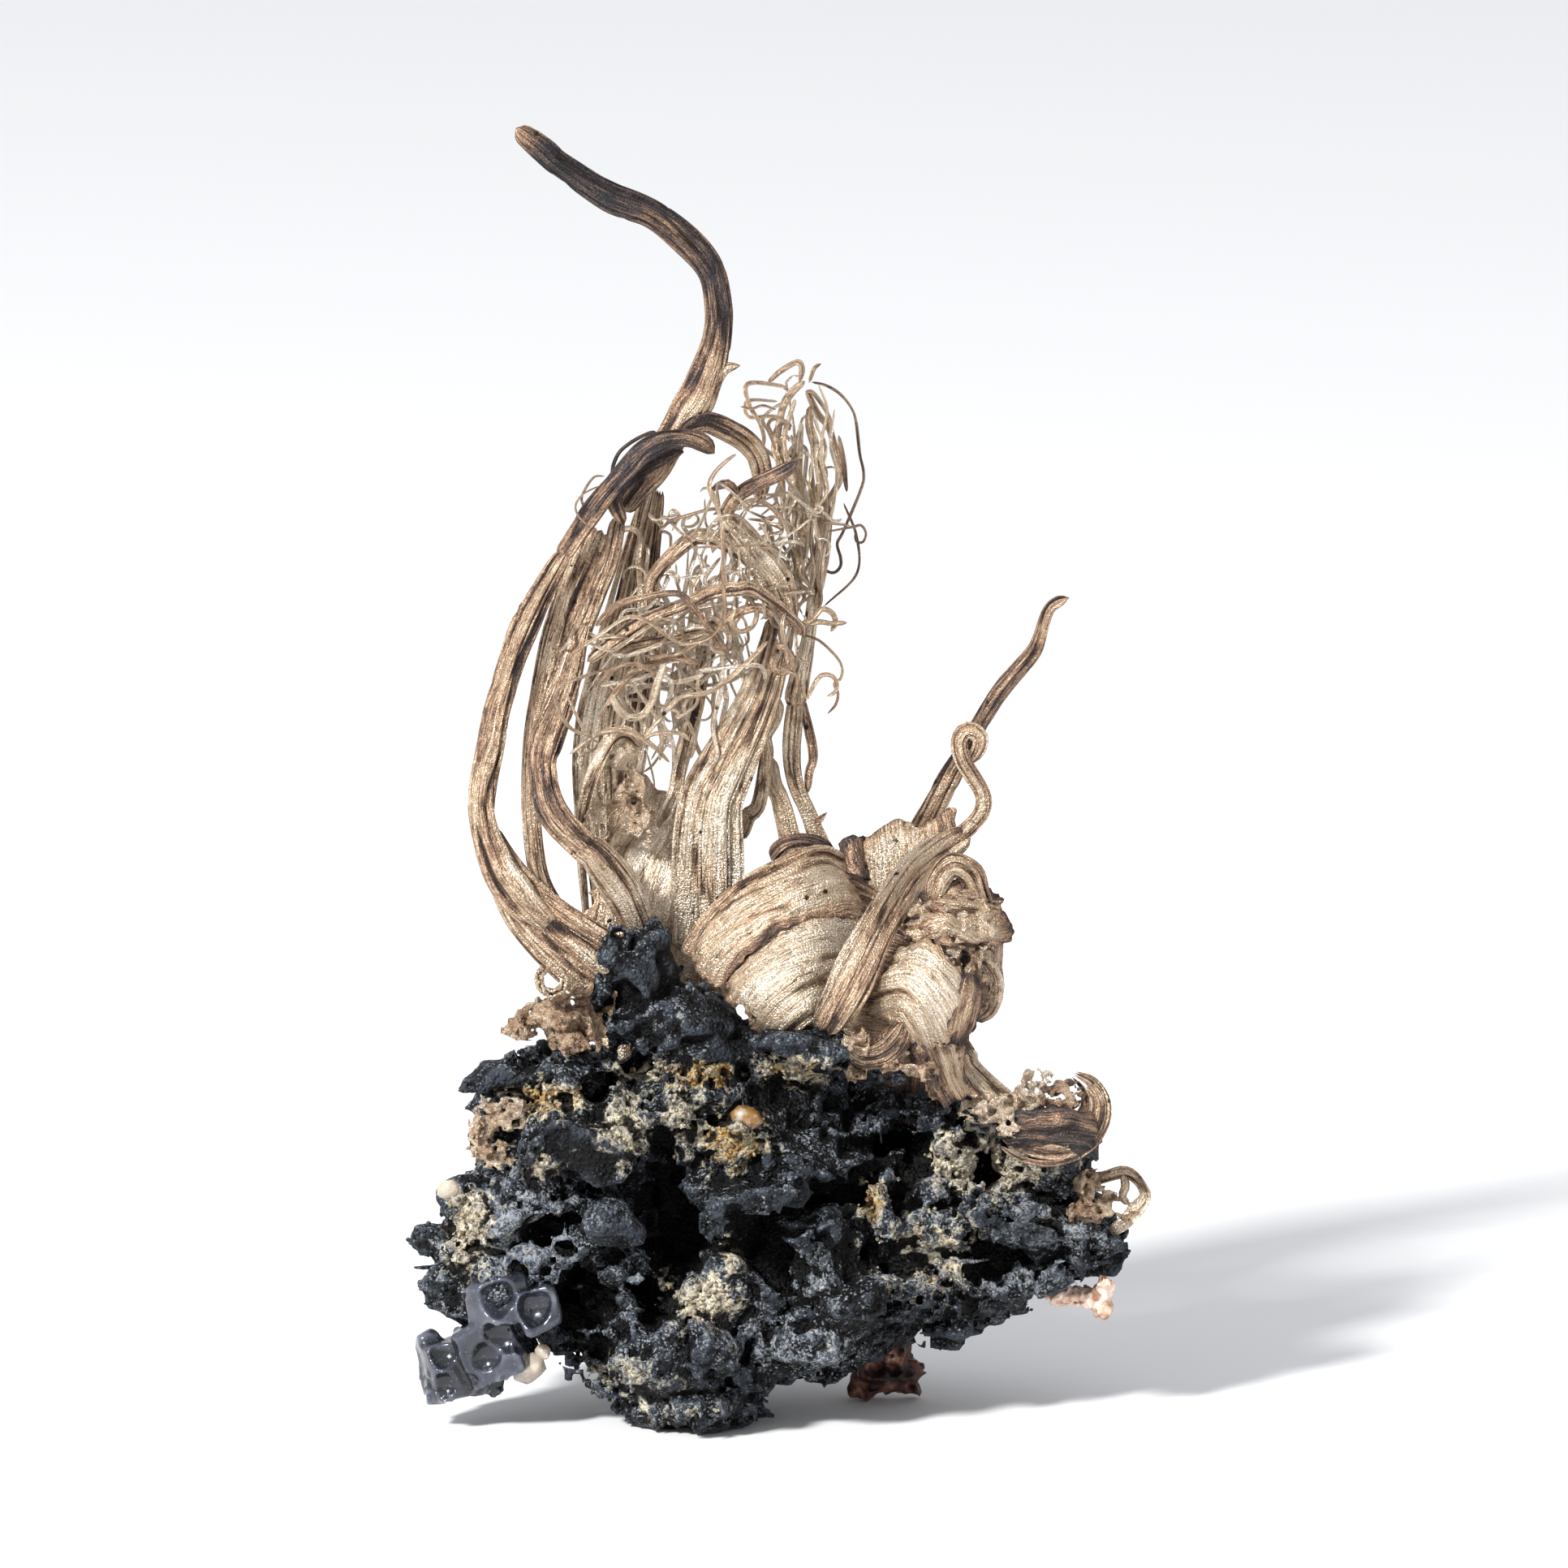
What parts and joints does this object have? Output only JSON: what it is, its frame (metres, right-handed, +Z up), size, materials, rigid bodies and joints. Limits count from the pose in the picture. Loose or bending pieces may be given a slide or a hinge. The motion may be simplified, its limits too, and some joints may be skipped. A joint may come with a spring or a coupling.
{
  "type": "native silver specimen",
  "caption": "Native silver wires, ribbons and curled leaves rising from a lumpy black acanthite matrix with cream and ochre crusts; a loose mineral specimen that stands on its matrix.",
  "frame": {"origin": "middle of the flat spot under the matrix that the specimen stands on", "axes": "+Z up, -Y towards the front face of the specimen, +X to the right seen from the front"},
  "size_m": [0.0459, 0.0257, 0.0819],
  "materials": {
    "native_silver": "satin, champagne-beige, striated",
    "tarnished_silver": "satin, dark grey-brown tarnish, striated",
    "acanthite": "rough blue-black with sparkling grains and pale dust",
    "acanthite_glassy": "glossy grey-black",
    "quartz": "milky to honey",
    "copper_crust": "rough dark red-brown"
  },
  "bodies": {
    "root": {"acanthite_crystals": "acanthite_glassy", "arch_ribbon": "tarnished_silver", "back_sheaf": "native_silver", "back_strand": "native_silver", "central_sheaf": "native_silver", "crumpled_knot": "native_silver", "curl_arch": "native_silver", "curly_wire": "tarnished_silver", "edge_crust_right": "native_silver", "foot_nugget": "copper_crust", "front_curl_strand": "native_silver", "grey_strand": "native_silver", "hanging_loop_wire": "native_silver", "head_loop_wire": "tarnished_silver", "head_wire_1": "native_silver", "head_wire_2": "native_silver", "head_wire_3": "native_silver", "head_wire_4": "native_silver", "head_wire_5": "native_silver", "hooked_ribbon": "native_silver", "leaf_back": "native_silver", "leaf_diagonal": "native_silver", "leaf_front": "native_silver", "left_bundle": "native_silver", "left_crumple": "native_silver", "left_crust": "native_silver", "left_outer_wire": "native_silver", "left_strap": "native_silver", "loop_ribbon_right": "native_silver", "loop_strand": "native_silver", "low_tangle_wire": "native_silver", "matrix": "acanthite", "neck_right": "native_silver", "outer_arc_wire": "tarnished_silver", "quartz_crystal_front": "quartz", "quartz_crystal_left": "quartz", "right_curl_wire": "native_silver", "right_stem": "native_silver", "rim_curl": "native_silver", "root_sheet": "native_silver", "sheaf_side_strand": "native_silver", "sheet_right": "native_silver", "spike_wire": "tarnished_silver", "spiral_curl": "native_silver", "stem_leg_inner": "native_silver", "stem_leg_pale": "native_silver", "stem_side_strand": "native_silver", "tall_wire": "tarnished_silver", "tangle_band_lower": "native_silver", "tangle_band_upper": "native_silver", "tangle_wire_grey": "native_silver", "tangle_wire_long": "native_silver", "top_hook_wire": "tarnished_silver", "twisted_fold": "tarnished_silver", "twisted_ribbon": "tarnished_silver", "wall_sheet": "native_silver"}
  },
  "joints": []
}
